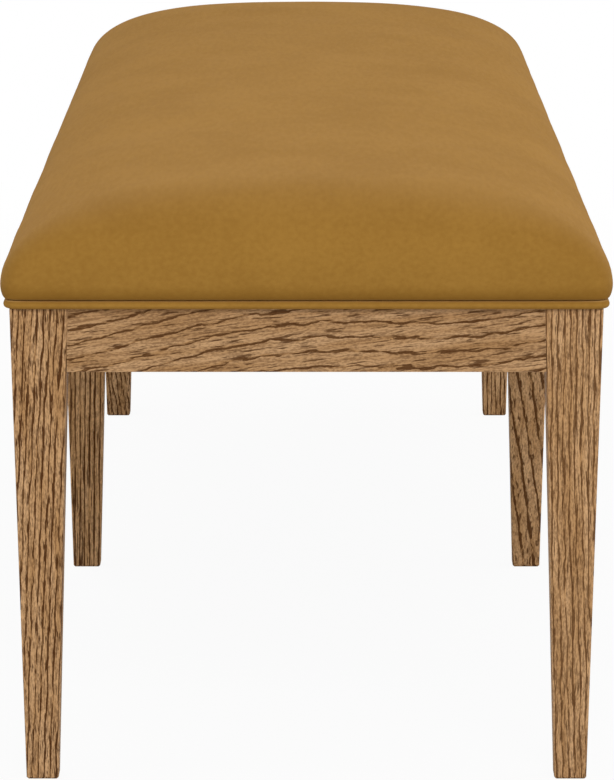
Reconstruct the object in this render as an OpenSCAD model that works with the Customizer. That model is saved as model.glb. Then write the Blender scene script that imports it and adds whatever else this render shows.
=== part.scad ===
// Upholstered dining bench on six tapered legs.
// Millimetres. The origin is on the floor under the middle of the bench.
// +X runs along the bench, +Y to its rear and +Z up.

/* [Frame] */
// Overall length of the frame at the top of its legs
bench_l = 1800; // [1300:10:2000]
// Overall width of the frame at the top of its legs
bench_w = 457; // [400:1:520]
// Height of the frame, from the floor to the underside of the seat
frame_h = 372; // [340:1:420]

/* [Legs] */
// Side of a leg's square section at its top
leg_top = 45; // [43:1:52]
// Side of a leg's square section at the floor
leg_foot = 25; // [20:1:34]
// Width of the flat planed on a leg's long edges and round its foot
leg_arris = 1.5; // [0.8:0.1:2.5]

/* [Aprons] */
// Depth of the aprons, top to bottom edge
apron_h = 49; // [44:1:64]
// Thickness of the aprons
apron_t = 22; // [20:1:24]
// How far an apron's outer face lies behind the leg tops' outer faces
apron_set = 1.4; // [0.8:0.1:2.5]
// Depth of the cross rail under the middle of the seat
cross_rail_h = 45; // [40:1:49]
// Thickness of the cross rail
cross_rail_t = 22; // [18:1:26]

/* [Mortise and tenon joints] */
// Thickness of a tenon
tenon_t = 8; // [6:1:9]
// Length of the tenons in the corner legs
corner_tenon_l = 24; // [16:1:26]
// Length of the side aprons' tenons in the middle legs
middle_tenon_l = 18; // [12:1:20]
// Length of the cross rail's tenons
cross_tenon_l = 20; // [14:1:22]
// Wood left above a tenon
tenon_above = 10; // [6:1:14]
// Wood left below a tenon
tenon_below = 6; // [4:1:9]
// Play between a tenon's faces and its mortise
mortise_play = 0.1; // [0.05:0.05:0.2]
// Free depth past a tenon's tip, for glue
mortise_spare = 1; // [0.5:0.5:2]

/* [Corner blocks] */
// Width of a corner block across the corner
block_w = 32; // [28:1:40]
// Height of a corner block
block_h = 32; // [28:1:38]
// How far a block's top lies below the frame's top
block_drop = 2; // [1:0.5:4]
// Gap between a block and the inner edge of its leg
block_gap = 1; // [0.5:0.5:3]

/* [Screws] */
// Shank diameter of the screws that hold the blocks
block_screw_d = 4; // [3.5:0.5:5]
// Head diameter of those screws
block_head_d = 8; // [7:0.5:9]
// Length of those screws under the head
block_screw_l = 28; // [24:1:30]
// Wood of the block under such a screw's head
block_grip = 12; // [10:1:13]
// Height between the two screws in one apron
block_screw_pitch = 16; // [12:1:18]
// Shank diameter of the screws that hold the seat
seat_screw_d = 5; // [4:0.5:6]
// Head diameter of the seat screws
seat_head_d = 10; // [9:0.5:11]
// Length of the seat screws under the head
seat_screw_l = 40; // [36:1:44]
// How deep the seat screws reach into the deck
seat_screw_bite = 9; // [6:0.5:10]
// Spacing of the seat screws along the cross rail
cross_screw_pitch = 120; // [90:5:150]
// Height of a screw's head
screw_head_h = 2.6; // [2:0.1:3]
// Play round a screw where it passes through
screw_play = 0.3; // [0.2:0.1:0.5]
// Play round a screw where its thread bites
pilot_play = 0.05; // [0.02:0.01:0.08]

/* [Seat deck] */
// Thickness of the plywood deck
deck_t = 12; // [12:1:16]
// Space between the frame and the cover's turned-under hem
seat_lift = 1.6; // [1.5:0.1:2.5]

/* [Cushion] */
// How far the cushion swells out past the frame
bulge_out = 8.7; // [5:0.1:12]
// Height of its widest line above the deck
bulge_up = 3.4; // [1:0.2:6]
// Rise of the crown above its widest line
crown_rise = 71; // [55:1:95]
// How far in from the frame's end the crown becomes level
end_run = 132; // [110:1:220]
// Flatness of the crown towards its middle
crown_across = 3; // [1.8:0.05:3.6]
// Fullness of the crown's shoulders
crown_shoulder = 2; // [1.8:0.05:3]
// Radius of the cushion's corners at its widest line, seen from above
bulge_corner_r = 24; // [16:1:40]
// Squareness of the corners at the top of the crown, where 2 is an ellipse
top_square = 2; // [2:0.5:6]
// Thickness of the batting round the foam
batting_t = 6; // [4:0.5:8]
// Clearance between the soft layers
soft_gap = 0.3; // [0.2:0.1:0.5]
// Clearance between the flat layers under the deck
sheet_gap = 0.2; // [0.1:0.05:0.3]

/* [Cover] */
// Thickness of the velvet cover
cover_t = 1; // [0.8:0.1:1.4]
// Height of the groove above the top of the welt
groove_up = 0.5; // [0.4:0.1:1.4]
// How far the groove lies outside the frame
groove_out = 4; // [1:0.2:5]
// Reach of the hem under the deck, from the frame's outer faces
hem_reach = 42; // [36:1:48]

/* [Welt] */
// Outside diameter of the welt
welt_d = 6.8; // [5:0.2:7]
// How far the welt's centre lies outside the frame
welt_out = 1.6; // [0:0.1:2.5]
// Radius of the welt's corners at the frame's outer faces
welt_corner_r = 8; // [7:0.5:12]
// Thickness of the welt's fabric
welt_skin = 0.9; // [0.6:0.1:1.2]
// Reach of the welt's flange under the seat, from the frame's outer faces
flange_reach = 12; // [10:1:16]
// Thickness of the flange
flange_t = 0.6; // [0.4:0.1:0.7]

/* [Dust cover] */
// Thickness of the dust cover
dust_t = 0.4; // [0.3:0.1:0.5]
// How far its edge lies inside the frame's outer faces
dust_inset = 28; // [26:1:30]

/* [Staples] */
// Width of a staple's crown
staple_w = 10; // [8:1:12]
// Thickness of a staple's wire
staple_wire = 0.6; // [0.4:0.1:0.7]
// Length of a staple's legs
staple_leg = 8; // [6:1:10]
// Spacing of the staples that hold the cover and the welt
cover_staple_pitch = 60; // [40:5:90]
// Distance of those staples inside the frame's outer faces
cover_staple_inset = 8; // [6:0.5:9]
// Spacing of the staples that hold the dust cover
dust_staple_pitch = 100; // [60:5:140]
// Distance of those staples inside the dust cover's edge
dust_staple_inset = 5; // [3:0.5:7]

/* [Hidden] */
$fn = 24;

oak = [0.69, 0.55, 0.38];
block_wood = [0.80, 0.67, 0.48];
plywood = [0.84, 0.72, 0.52];
foam_white = [0.93, 0.90, 0.80];
batting_white = [0.95, 0.95, 0.93];
velvet_gold = [0.64, 0.48, 0.26];
cord_white = [0.90, 0.88, 0.82];
cambric_black = [0.08, 0.08, 0.09];
zinc = [0.72, 0.72, 0.70];

// Overlap of a cut past the face that it opens
cut = 1;
// Length by which a tenon runs back into its own rail before the two are joined
root = 4;
// Place of the side screws along a block's seat on the apron
block_screw_share = 0.6;
// Height of the batting's lower edge above the groove
batting_up = 2;
// How far the foam and the batting draw in at their base
base_ease = 0.5;
// Size of the fold where the cover turns under the deck
hem_fold = 0.6;
// Where the flange starts, as a share of the welt's mid radius
flange_start = 0.65;

// Centres of the legs
leg_x = (bench_l - leg_top) / 2;
leg_y = (bench_w - leg_top) / 2;
// Distance from the frame's outer faces to an apron's inner face and to its tenon's middle
apron_in = apron_set + apron_t;
tenon_mid = apron_set + apron_t / 2;
// Heights of the aprons' tenons
tenon_low = frame_h - apron_h + tenon_below;
tenon_high = frame_h - tenon_above;
// Heights of the cross rail's tenons
cross_tenon_low = frame_h - cross_rail_h + tenon_below;

// A block's long face lies block_reach along each apron, and block_leg is its seat on the apron
block_reach = 2 * leg_top - apron_in + block_gap * sqrt(2);
block_leg = block_w * sqrt(2);
block_top = frame_h - block_drop;
block_low = block_top - block_h;
// Middle of a block, as a distance from both outer faces
block_mid = (apron_in + block_reach + block_leg / 2) / 2;
// Distance of a block's side screws from the corner
block_screw_along = block_reach + block_screw_share * block_leg;

// Levels of the layers of the seat, from the frame up
staple_z = frame_h + sheet_gap;
flange_z = staple_z + staple_wire;
hem_z = frame_h + seat_lift;
deck_z = hem_z + cover_t + sheet_gap;
deck_top = deck_z + deck_t;
dust_z = hem_z - sheet_gap - dust_t;
// Place of the seat screws' heads
seat_head_z = deck_z + seat_screw_bite - seat_screw_l;

// The cover passes inside the welt here, measured outwards from the frame's outer faces
wall_out = welt_out - welt_d / 2 - soft_gap;
deck_out = wall_out - cover_t - soft_gap;
welt_z = frame_h + sheet_gap + welt_d / 2;
groove_z = welt_z + welt_d / 2 + groove_up;
bulge_z = deck_top + bulge_up;
// Ends of the line that the level crown runs along, and of the line that the edges run round
crown_spine = bench_l / 2 - end_run;
edge_spine = (bench_l - bench_w) / 2;

// Swell and rise of each soft layer's outer face
cover_in = bulge_out - cover_t;
rise_in = crown_rise - cover_t;
batting_out = cover_in - soft_gap;
batting_rise = rise_in - soft_gap;
batting_in = batting_out - batting_t;
batting_rise_in = batting_rise - batting_t;
foam_out = batting_in - soft_gap;
foam_rise = batting_rise_in - soft_gap;
// Lower edge of the batting, and level of the foam's base
batting_z = groove_z + batting_up;
foam_z = deck_top + soft_gap;

// Steps round a quarter of a corner, up the crown and down to the groove
corner_steps = 8;
crown_steps = 9;
lower_steps = 3;

// Half of a leg's width at height z
function leg_half(z) = (leg_foot + (leg_top - leg_foot) * z / frame_h) / 2;

// Point of a unit curve between a circle (square 2) and a square (large values)
function full_cos(a, square) = pow(abs(cos(a)), 2 / square);
function full_sin(a, square) = sign(a) * pow(abs(sin(a)), 2 / square);
// Squareness whose corner cuts in as far as a radius r does on a half width h
function squareness(r, h) = -ln(2) / ln(1 - (1 - sqrt(0.5)) * r / h);

// Closed ring at height z, reach mm to every side of a spine that runs spine mm both ways along X
function ring(spine, reach, square, z) = [
    for (end = [1, -1])
        for (k = [-corner_steps : corner_steps])
            let (a = 90 * k / corner_steps)
            [end * (spine + reach * full_cos(a, square)), end * reach * full_sin(a, square), z]
];
// Ring that lies out mm outside the frame's outer faces, with corners of radius r
function edge_ring(out, r, z) =
    let (reach = bench_w / 2 + out)
    ring(edge_spine, reach, squareness(r, reach), z);
// Ring on a crown that swells out mm past the frame and rises by rise, at the angle a up its section
function crown_ring(out, rise, a) =
    let (
        inward = pow(cos(a), 2 / crown_across),
        upward = pow(sin(a), 2 / crown_shoulder),
        base_square = squareness(bulge_corner_r, bench_w / 2 + bulge_out),
        square = base_square + (top_square - base_square) * sin(a),
        reach = inward * (bench_w / 2 + out),
        end = crown_spine + inward * (end_run + out)
    )
    ring(end - reach, reach, square, bulge_z + rise * upward);
// Rings of a crown, from the top down to its widest line
function crown_rings(out, rise) = [
    for (k = [crown_steps - 1 : -1 : 0]) crown_ring(out, rise, 90 * k / crown_steps)
];

// Swell of the cover's outer face at the angle b below its widest line, down to the groove
function tuck_out(b) = groove_out + (bulge_out - groove_out) * cos(b);
function tuck_z(b) = bulge_z - (bulge_z - groove_z) * sin(b);
function tuck_r(b) = welt_corner_r + groove_out
    + (bulge_corner_r - welt_corner_r - groove_out) * cos(b);
// Angle at which the tuck passes the height z
function tuck_angle(z) = asin((bulge_z - z) / (bulge_z - groove_z));
// Rings between the widest line and the groove, thinned by t on the inside
function tuck_rings(t, last) = [
    for (k = [1 : lower_steps])
        let (b = last * k / lower_steps)
        edge_ring(tuck_out(b) - t, tuck_r(b) - t, tuck_z(b))
];

function reversed(list) = [for (i = [len(list) - 1 : -1 : 0]) list[i]];

// Closed soft solid through a chain of rings. Each end is capped on two points, [x, z] and its mirror
module soft_solid(rings, first, last) {
    count = len(rings[0]);
    group = count / 2;
    last_ring = (len(rings) - 1) * count;
    spine = len(rings) * count;
    points = [
        for (r = rings) each r,
        for (c = [first, last]) each [[c[0], 0, c[1]], [-c[0], 0, c[1]]]
    ];
    sides = [
        for (i = [0 : len(rings) - 2])
            for (j = [0 : count - 1])
                let (k = (j + 1) % count, upper = i * count, lower = upper + count)
                each [
                    [upper + j, upper + k, lower + k],
                    [upper + j, lower + k, lower + j]
                ]
    ];
    polyhedron(
        points,
        concat(
            sides,
            cap(0, spine, count, group),
            [for (f = cap(last_ring, spine + 2, count, group)) reversed(f)]
        )
    );
}

// Triangles from a ring that starts at point start to the spine's two points
function cap(start, spine, count, group) = concat(
    [
        for (end = [0, 1])
            for (j = [0 : group - 2])
                let (p = start + end * group + j)
                [spine + end, p + 1, p]
    ],
    [
        for (end = [0, 1])
            let (
                from = start + end * group + group - 1,
                to = start + (end * group + group) % count
            )
            each [[spine + end, spine + 1 - end, to], [spine + end, to, from]]
    ]
);

// Tapered leg about its own axis, with flats on its long edges and round its foot
module leg_blank() {
    half_foot = leg_foot / 2;
    half_top = leg_top / 2;
    // Half widths across the corners, once the edges are planed
    edge_foot = half_foot * sqrt(2) - leg_arris / 2;
    edge_top = half_top * sqrt(2) - leg_arris / 2;
    intersection() {
        taper(half_foot, half_top, leg_arris);
        rotate([0, 0, 90]) taper(half_foot, half_top, leg_arris);
        rotate([0, 0, 45]) taper(edge_foot, edge_top, leg_arris);
        rotate([0, 0, 135]) taper(edge_foot, edge_top, leg_arris);
    }
}

// Long wedge of the leg's height, half_low to half_high wide, with its foot eased
module taper(half_low, half_high, ease) {
    rotate([90, 0, 0])
        linear_extrude(height = 2 * leg_top, center = true)
            polygon([
                [-half_low + ease, 0], [half_low - ease, 0],
                [half_low, ease], [half_high, frame_h],
                [-half_high, frame_h], [-half_low, ease]
            ]);
}

// Mortise in a leg's -X face: mid is its distance from the leg's axis along Y
module mortise(length, mid, low) {
    depth = length + mortise_spare;
    wide = tenon_t + 2 * mortise_play;
    translate([-leg_top / 2 - cut, mid - wide / 2, low - mortise_play])
        cube([depth + cut, wide, tenon_high - low + 2 * mortise_play]);
}

// Corner leg of the +X +Y corner, in place
module corner_leg() {
    off_axis = leg_top / 2 - tenon_mid;
    translate([leg_x, leg_y, 0])
        difference() {
            leg_blank();
            mortise(corner_tenon_l, off_axis, tenon_low);
            mirror([1, -1, 0]) mortise(corner_tenon_l, off_axis, tenon_low);
        }
}

// Middle leg of the +Y side, in place
module middle_leg() {
    off_axis = leg_top / 2 - tenon_mid;
    translate([0, leg_y, 0])
        difference() {
            leg_blank();
            mortise(middle_tenon_l, off_axis, tenon_low);
            mirror([1, 0, 0]) mortise(middle_tenon_l, off_axis, tenon_low);
            mirror([1, -1, 0]) mortise(cross_tenon_l, 0, cross_tenon_low);
        }
}

// Rail along X between legs whose axes are at from_x and to_x, its ends cut to their slope
module rail(from_x, to_x, height, thick) {
    low = frame_h - height;
    rotate([90, 0, 0])
        linear_extrude(height = thick, center = true)
            polygon([
                [from_x + leg_half(low), low], [to_x - leg_half(low), low],
                [to_x - leg_half(frame_h), frame_h], [from_x + leg_half(frame_h), frame_h]
            ]);
}

// Rail with a tenon of its own length at either end
module tenoned_rail(from_x, to_x, height, thick, from_l, to_l, low) {
    union() {
        rail(from_x, to_x, height, thick);
        translate([from_x + leg_top / 2 + root, 0, 0]) mirror([1, 0, 0]) stub(from_l, low);
        translate([to_x - leg_top / 2 - root, 0, 0]) stub(to_l, low);
    }
}

// Tenon of the length given, with its root, pointing to +X
module stub(length, low) {
    translate([0, -tenon_t / 2, low])
        cube([length + root, tenon_t, tenon_high - low]);
}

// Apron between the middle leg and the +X corner leg on the +Y side
module side_apron() {
    translate([0, bench_w / 2 - tenon_mid, 0])
        tenoned_rail(0, leg_x, apron_h, apron_t, middle_tenon_l, corner_tenon_l, tenon_low);
}

// Apron at the +X end
module end_apron() {
    translate([bench_l / 2 - tenon_mid, 0, 0])
        rotate([0, 0, 90])
            tenoned_rail(-leg_y, leg_y, apron_h, apron_t, corner_tenon_l, corner_tenon_l, tenon_low);
}

// Wood screw pointing to +Z with the underside of its head at the origin
module screw(d, head_d, length) {
    tip = 1.2 * d;
    difference() {
        rotate_extrude()
            polygon([
                [0, -screw_head_h], [0.3 * head_d, -screw_head_h], [0.5 * head_d, -0.4 * screw_head_h],
                [0.5 * head_d, 0], [d / 2, 0], [d / 2, length - tip], [0, length]
            ]);
        for (turn = [0, 90])
            rotate([0, 0, turn])
                translate([0, 0, -screw_head_h])
                    cube([0.5 * head_d, 0.1 * head_d, screw_head_h], center = true);
    }
}

// Hole for such a screw: free for grip, then a pilot hole, with a counterbore behind its head
module screw_hole(d, head_d, length, grip, sink) {
    cylinder(h = grip, d = d + 2 * screw_play);
    cylinder(h = length + cut / 2, d = d + 2 * pilot_play);
    translate([0, 0, -sink]) cylinder(h = sink, d = head_d + 2 * screw_play);
}

// Puts its children at each side screw of the +X +Y corner block, pointing into the apron
module at_block_screws() {
    for (dz = [-0.5, 0.5])
        for (swap = [false, true])
            mirror_diagonal(swap)
                translate([
                    block_screw_along, apron_in + block_grip,
                    (block_low + block_top) / 2 + dz * block_screw_pitch
                ])
                    rotate([90, 0, 0]) children();
}

// Swaps X and Y when asked
module mirror_diagonal(swap) {
    if (swap) mirror([1, -1, 0]) children();
    else children();
}

// Puts its children in the +X +Y corner, where X and Y count inwards from the outer faces
module in_corner() {
    translate([bench_l / 2, bench_w / 2, 0]) rotate([0, 0, 180]) children();
}

// Block across the +X +Y corner, with its screw holes
module corner_block() {
    color(block_wood)
        in_corner()
            difference() {
                translate([0, 0, block_low])
                    linear_extrude(height = block_h)
                        polygon([
                            [apron_in, block_reach], [apron_in, block_reach + block_leg],
                            [block_reach + block_leg, apron_in], [block_reach, apron_in]
                        ]);
                at_block_screws()
                    screw_hole(block_screw_d, block_head_d, block_screw_l, block_grip + cut, block_leg);
                translate([block_mid, block_mid, seat_head_z]) seat_screw_hole();
            }
}

module seat_screw_hole() {
    screw_hole(seat_screw_d, seat_head_d, seat_screw_l, seat_screw_l - seat_screw_bite, seat_screw_l);
}

// Puts its children in all four corners
module four_corners() {
    for (sx = [0, 1])
        for (sy = [0, 1])
            mirror([sx, 0, 0]) mirror([0, sy, 0]) children();
}

// Puts its children at every seat screw
module at_seat_screws() {
    four_corners() in_corner() translate([block_mid, block_mid, seat_head_z]) children();
    for (k = [-1 : 1]) translate([0, k * cross_screw_pitch, seat_head_z]) children();
}

// Apron with the pilot holes of the block screws
module drilled_side_apron() {
    color(oak)
        difference() {
            side_apron();
            in_corner() at_block_screws() block_pilot();
        }
}
module drilled_end_apron() {
    color(oak)
        difference() {
            end_apron();
            for (sy = [0, 1]) mirror([0, sy, 0]) in_corner() at_block_screws() block_pilot();
        }
}
module block_pilot() {
    cylinder(h = block_screw_l + cut / 2, d = block_screw_d + 2 * pilot_play);
}

module cross_rail() {
    color(oak)
        difference() {
            rotate([0, 0, 90])
                tenoned_rail(
                    -leg_y, leg_y, cross_rail_h, cross_rail_t,
                    cross_tenon_l, cross_tenon_l, cross_tenon_low
                );
            at_seat_screws() seat_screw_hole();
        }
}

// Plate whose edge lies out mm outside the frame's outer faces, with corners of radius r
module plate(out, r, z, thick) {
    half_x = bench_l / 2 + out;
    half_y = bench_w / 2 + out;
    translate([0, 0, z]) {
        translate([-half_x + r, -half_y, 0]) cube([2 * (half_x - r), 2 * half_y, thick]);
        translate([-half_x, -half_y + r, 0]) cube([2 * half_x, 2 * (half_y - r), thick]);
        for (sx = [-1, 1])
            for (sy = [-1, 1])
                translate([sx * (half_x - r), sy * (half_y - r), 0]) cylinder(h = thick, r = r);
    }
}

module seat_deck() {
    color(plywood)
        difference() {
            plate(deck_out, welt_corner_r + deck_out, deck_z, deck_t);
            at_seat_screws() cylinder(h = seat_screw_l + cut / 2, d = seat_screw_d + 2 * pilot_play);
        }
}

module foam_core() {
    color(foam_white)
        soft_solid(
            concat(
                crown_rings(foam_out, foam_rise),
                [edge_ring(foam_out - base_ease, bulge_corner_r, foam_z)]
            ),
            [crown_spine, bulge_z + foam_rise], [edge_spine, foam_z]
        );
}

module batting() {
    bottom = tuck_angle(batting_z);
    t = cover_t + soft_gap;
    edge_in = deck_out + soft_gap;
    edge_r = welt_corner_r + edge_in;
    color(batting_white)
        soft_solid(
            concat(
                crown_rings(batting_out, batting_rise),
                tuck_rings(t, bottom),
                [
                    edge_ring(edge_in, edge_r, batting_z),
                    edge_ring(edge_in, edge_r, deck_top),
                    edge_ring(batting_in - base_ease, bulge_corner_r, deck_top)
                ],
                reversed(crown_rings(batting_in, batting_rise_in))
            ),
            [crown_spine, bulge_z + batting_rise], [crown_spine, bulge_z + batting_rise_in]
        );
}

module seat_cover() {
    wall_r = welt_corner_r + wall_out;
    color(velvet_gold)
        soft_solid(
            concat(
                crown_rings(bulge_out, crown_rise),
                tuck_rings(0, 90),
                [
                    edge_ring(wall_out, wall_r, groove_z - cover_t / 2),
                    edge_ring(wall_out, wall_r, hem_z + hem_fold),
                    edge_ring(wall_out - hem_fold, wall_r - hem_fold, hem_z),
                    edge_ring(-hem_reach, wall_r, hem_z),
                    edge_ring(-hem_reach, wall_r, hem_z + cover_t),
                    edge_ring(wall_out - cover_t, wall_r - cover_t, hem_z + cover_t),
                    edge_ring(wall_out - cover_t, wall_r - cover_t, groove_z + cover_t / 2)
                ],
                reversed(tuck_rings(cover_t, 80)),
                reversed(crown_rings(cover_in, rise_in))
            ),
            [crown_spine, bulge_z + crown_rise], [crown_spine, bulge_z + rise_in]
        );
}

// Runs the children's section, drawn about its centre, along the welt's line
module along_welt() {
    half_x = bench_l / 2 + welt_out;
    half_y = bench_w / 2 + welt_out;
    r = welt_corner_r + welt_out;
    translate([0, 0, welt_z]) {
        for (turn = [0, 180])
            rotate([0, 0, turn]) {
                translate([-half_x + r, -half_y, 0])
                    rotate([90, 0, 90]) linear_extrude(height = 2 * (half_x - r)) children();
                translate([half_x, -half_y + r, 0])
                    rotate([90, 0, 180]) linear_extrude(height = 2 * (half_y - r)) children();
                translate([half_x - r, -half_y + r, 0])
                    rotate([0, 0, -90]) rotate_extrude(angle = 90) translate([r, 0]) children();
                translate([half_x - r, half_y - r, 0])
                    rotate_extrude(angle = 90) translate([r, 0]) children();
            }
    }
}

module welt_cover() {
    // The flange starts inside the wall of the tube
    flange_out = welt_out - (welt_d - welt_skin) / 2 * flange_start;
    color(velvet_gold) {
        along_welt()
            difference() {
                circle(d = welt_d);
                circle(d = welt_d - 2 * welt_skin);
            }
        difference() {
            plate(flange_out, welt_corner_r + flange_out, flange_z, flange_t);
            translate([0, 0, flange_z + flange_t / 2])
                cube([bench_l - 2 * flange_reach, bench_w - 2 * flange_reach, 2 * flange_t], center = true);
        }
    }
}

module welt_cord() {
    color(cord_white)
        along_welt() circle(d = welt_d - 2 * welt_skin - 0.2);
}

module dust_cover() {
    color(cambric_black)
        difference() {
            translate([0, 0, dust_z + dust_t / 2])
                cube([bench_l - 2 * dust_inset, bench_w - 2 * dust_inset, dust_t], center = true);
            at_seat_screws() cylinder(h = seat_screw_l, d = seat_screw_d + 2 * screw_play);
        }
}

// Staple whose crown runs along X with its underside at the origin
module staple(leg_l) {
    rotate([90, 0, 0])
        linear_extrude(height = 2 * staple_wire, center = true)
            polygon([
                [-staple_w / 2, 0], [staple_w / 2, 0], [staple_w / 2, leg_l],
                [staple_w / 2 - staple_wire, leg_l], [staple_w / 2 - staple_wire, staple_wire],
                [-staple_w / 2 + staple_wire, staple_wire],
                [-staple_w / 2 + staple_wire, leg_l], [-staple_w / 2, leg_l]
            ]);
}

// Row of staples on a line inset mm inside the frame's outer faces, pitch mm apart on all four sides
module staple_loop(inset, pitch, z) {
    run_x = bench_l / 2 - inset;
    run_y = bench_w / 2 - inset;
    count_x = floor((run_x - 2 * staple_w) / pitch);
    count_y = floor((run_y - 2 * staple_w) / pitch);
    for (side = [-1, 1]) {
        for (k = [-count_x : count_x])
            translate([k * pitch, side * run_y, z]) staple(staple_leg);
        for (k = [-count_y : count_y])
            translate([side * run_x, k * pitch, z]) rotate([0, 0, 90]) staple(staple_leg);
    }
}

module cover_staples() {
    color(zinc) staple_loop(cover_staple_inset, cover_staple_pitch, staple_z);
}
module dust_cover_staples() {
    color(zinc) staple_loop(dust_inset + dust_staple_inset, dust_staple_pitch, dust_z - staple_wire);
}
module corner_block_screws() {
    color(zinc)
        four_corners() in_corner() at_block_screws() screw(block_screw_d, block_head_d, block_screw_l);
}
module seat_screws() {
    color(zinc) at_seat_screws() screw(seat_screw_d, seat_head_d, seat_screw_l);
}

module left() { mirror([1, 0, 0]) children(); }
module front() { mirror([0, 1, 0]) children(); }

color(oak) corner_leg();  // leg_rear_right
color(oak) left() corner_leg();  // leg_rear_left
color(oak) front() corner_leg();  // leg_front_right
color(oak) left() front() corner_leg();  // leg_front_left
color(oak) middle_leg();  // leg_rear_middle
color(oak) front() middle_leg();  // leg_front_middle
drilled_end_apron();  // end_apron_right
left() drilled_end_apron();  // end_apron_left
drilled_side_apron();  // side_apron_rear_right
left() drilled_side_apron();  // side_apron_rear_left
front() drilled_side_apron();  // side_apron_front_right
left() front() drilled_side_apron();  // side_apron_front_left
cross_rail();
corner_block();  // corner_block_rear_right
left() corner_block();  // corner_block_rear_left
front() corner_block();  // corner_block_front_right
left() front() corner_block();  // corner_block_front_left
corner_block_screws();
seat_screws();
seat_deck();
foam_core();
batting();
seat_cover();
welt_cover();
welt_cord();
dust_cover();
cover_staples();
dust_cover_staples();
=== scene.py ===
# %% [markdown]
# # An upholstered dining bench
#
# A long bench on six tapered oak legs, with a velvet seat crowned over foam. The timber
# frame, the plywood deck, the screws and the staples come as fixed solids. This lesson
# gives them their finish, and makes what an upholsterer adds to them: the foam, the
# batting, the velvet cover, the welt and the dust cover.

import math

import bpy
import numpy as np
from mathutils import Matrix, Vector, noise


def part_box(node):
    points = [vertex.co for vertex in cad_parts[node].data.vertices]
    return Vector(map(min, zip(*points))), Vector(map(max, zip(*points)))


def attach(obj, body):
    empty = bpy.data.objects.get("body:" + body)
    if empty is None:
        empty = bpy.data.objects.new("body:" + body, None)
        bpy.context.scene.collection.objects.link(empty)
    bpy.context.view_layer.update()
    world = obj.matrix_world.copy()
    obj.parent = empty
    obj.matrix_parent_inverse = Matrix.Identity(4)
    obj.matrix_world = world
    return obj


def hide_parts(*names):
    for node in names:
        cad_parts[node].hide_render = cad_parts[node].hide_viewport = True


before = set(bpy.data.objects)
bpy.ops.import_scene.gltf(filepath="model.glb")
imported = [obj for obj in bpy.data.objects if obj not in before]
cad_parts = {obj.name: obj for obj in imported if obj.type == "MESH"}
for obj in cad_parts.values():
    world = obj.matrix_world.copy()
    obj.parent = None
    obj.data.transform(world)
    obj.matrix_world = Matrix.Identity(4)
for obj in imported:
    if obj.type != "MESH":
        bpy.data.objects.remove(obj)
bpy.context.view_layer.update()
print("fixed solids:", len(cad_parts))

# %% [markdown]
# ## Sizes
#
# Upholstery is cut to fit its frame, so most sizes here are read from the solid that a soft
# piece has to meet. Only the shape of the crown is written down, as an upholsterer would
# note it: how far in it becomes level, and how full its shoulders are.

# %% Sizes read from the frame, in metres
MM = 0.001

frame_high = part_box("leg_rear_right")[1]
cover_low, cover_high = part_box("seat_cover")
welt_low, welt_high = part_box("welt_cover")
cord_low, cord_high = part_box("welt_cord")
deck_low, deck_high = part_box("seat_deck")
batting_low, batting_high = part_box("batting")
foam_low, foam_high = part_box("foam_core")
dust_low, dust_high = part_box("dust_cover")

half_length = frame_high.x
half_width = frame_high.y
bulge_out = cover_high.x - half_length
welt_radius = (welt_high.z - welt_low.z) / 2
welt_middle = (welt_high.z + welt_low.z) / 2
welt_out = welt_high.x - half_length - welt_radius
deck_out = deck_high.x - half_length
print(f"frame {2 * half_length:.3f} x {2 * half_width:.3f} m, seat top at {cover_high.z:.3f} m")

# %% Sizes that are the upholsterer's choice
BULGE_ABOVE_DECK = 3.4 * MM
CROWN_RUN = 132 * MM
CROWN_FLATNESS = 3.0
CROWN_SHOULDER = 2.0
TOP_SQUARENESS = 2.0
BULGE_CORNER = 24 * MM
WELT_CORNER = 8 * MM
GROOVE_UP = 0.5 * MM
GROOVE_OUT = 4.0 * MM
COVER_THICK = 1 * MM
HEM_REACH = 42 * MM
SOFT_GAP = 0.3 * MM
FAR_SLACK = 2.2 * MM

bulge_z = deck_high.z + BULGE_ABOVE_DECK
groove_z = welt_high.z + GROOVE_UP
wall_out = welt_out - welt_radius - SOFT_GAP
print(f"seat widest at {bulge_z:.3f} m, groove above the welt at {groove_z:.3f} m")

# %% [markdown]
# ## Camera
#
# The bench is seen from beyond one end, from a little above its seat. A long lens far away
# keeps the legs nearly upright and squeezes the bench's length. The edges of the legs and
# aprons in the picture fix the lens, the distance and the dip.

# %% The camera
PICTURE_HEIGHT_PX = 780
FOCAL_LENGTH_PX = 5502
MIDDLE_OFF_PX = 0.5
SENSOR_MM = 36
CAMERA_AHEAD = 4.185
CAMERA_HEIGHT = 0.975
CAMERA_DIP = math.radians(9.04)
SIGHT_ENDS = 200

camera_data = bpy.data.cameras.new("camera")
camera_data.sensor_width = SENSOR_MM
camera_data.lens = FOCAL_LENGTH_PX * SENSOR_MM / PICTURE_HEIGHT_PX
camera_data.shift_x = MIDDLE_OFF_PX / PICTURE_HEIGHT_PX
camera_data.clip_end = SIGHT_ENDS
camera = bpy.data.objects.new("camera", camera_data)
camera.location = (half_length + CAMERA_AHEAD, 0, CAMERA_HEIGHT)
camera.rotation_euler = (math.pi / 2 - CAMERA_DIP, 0, math.pi / 2)
scene = bpy.context.scene
scene.collection.objects.link(camera)
scene.camera = camera
scene.view_settings.view_transform = "Standard"
print(f"lens {camera_data.lens:.0f} mm, {CAMERA_AHEAD:.2f} m ahead of the bench")

# %% [markdown]
# ## Writing materials as text
#
# A material in Blender is a graph of nodes. Small helpers keep such a graph readable: each
# adds one node, for arithmetic, a smooth step, a mix of two colours or a cloud of noise. Two
# more open and close a group with named sockets, so that an effect used by several materials
# is built once.

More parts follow.
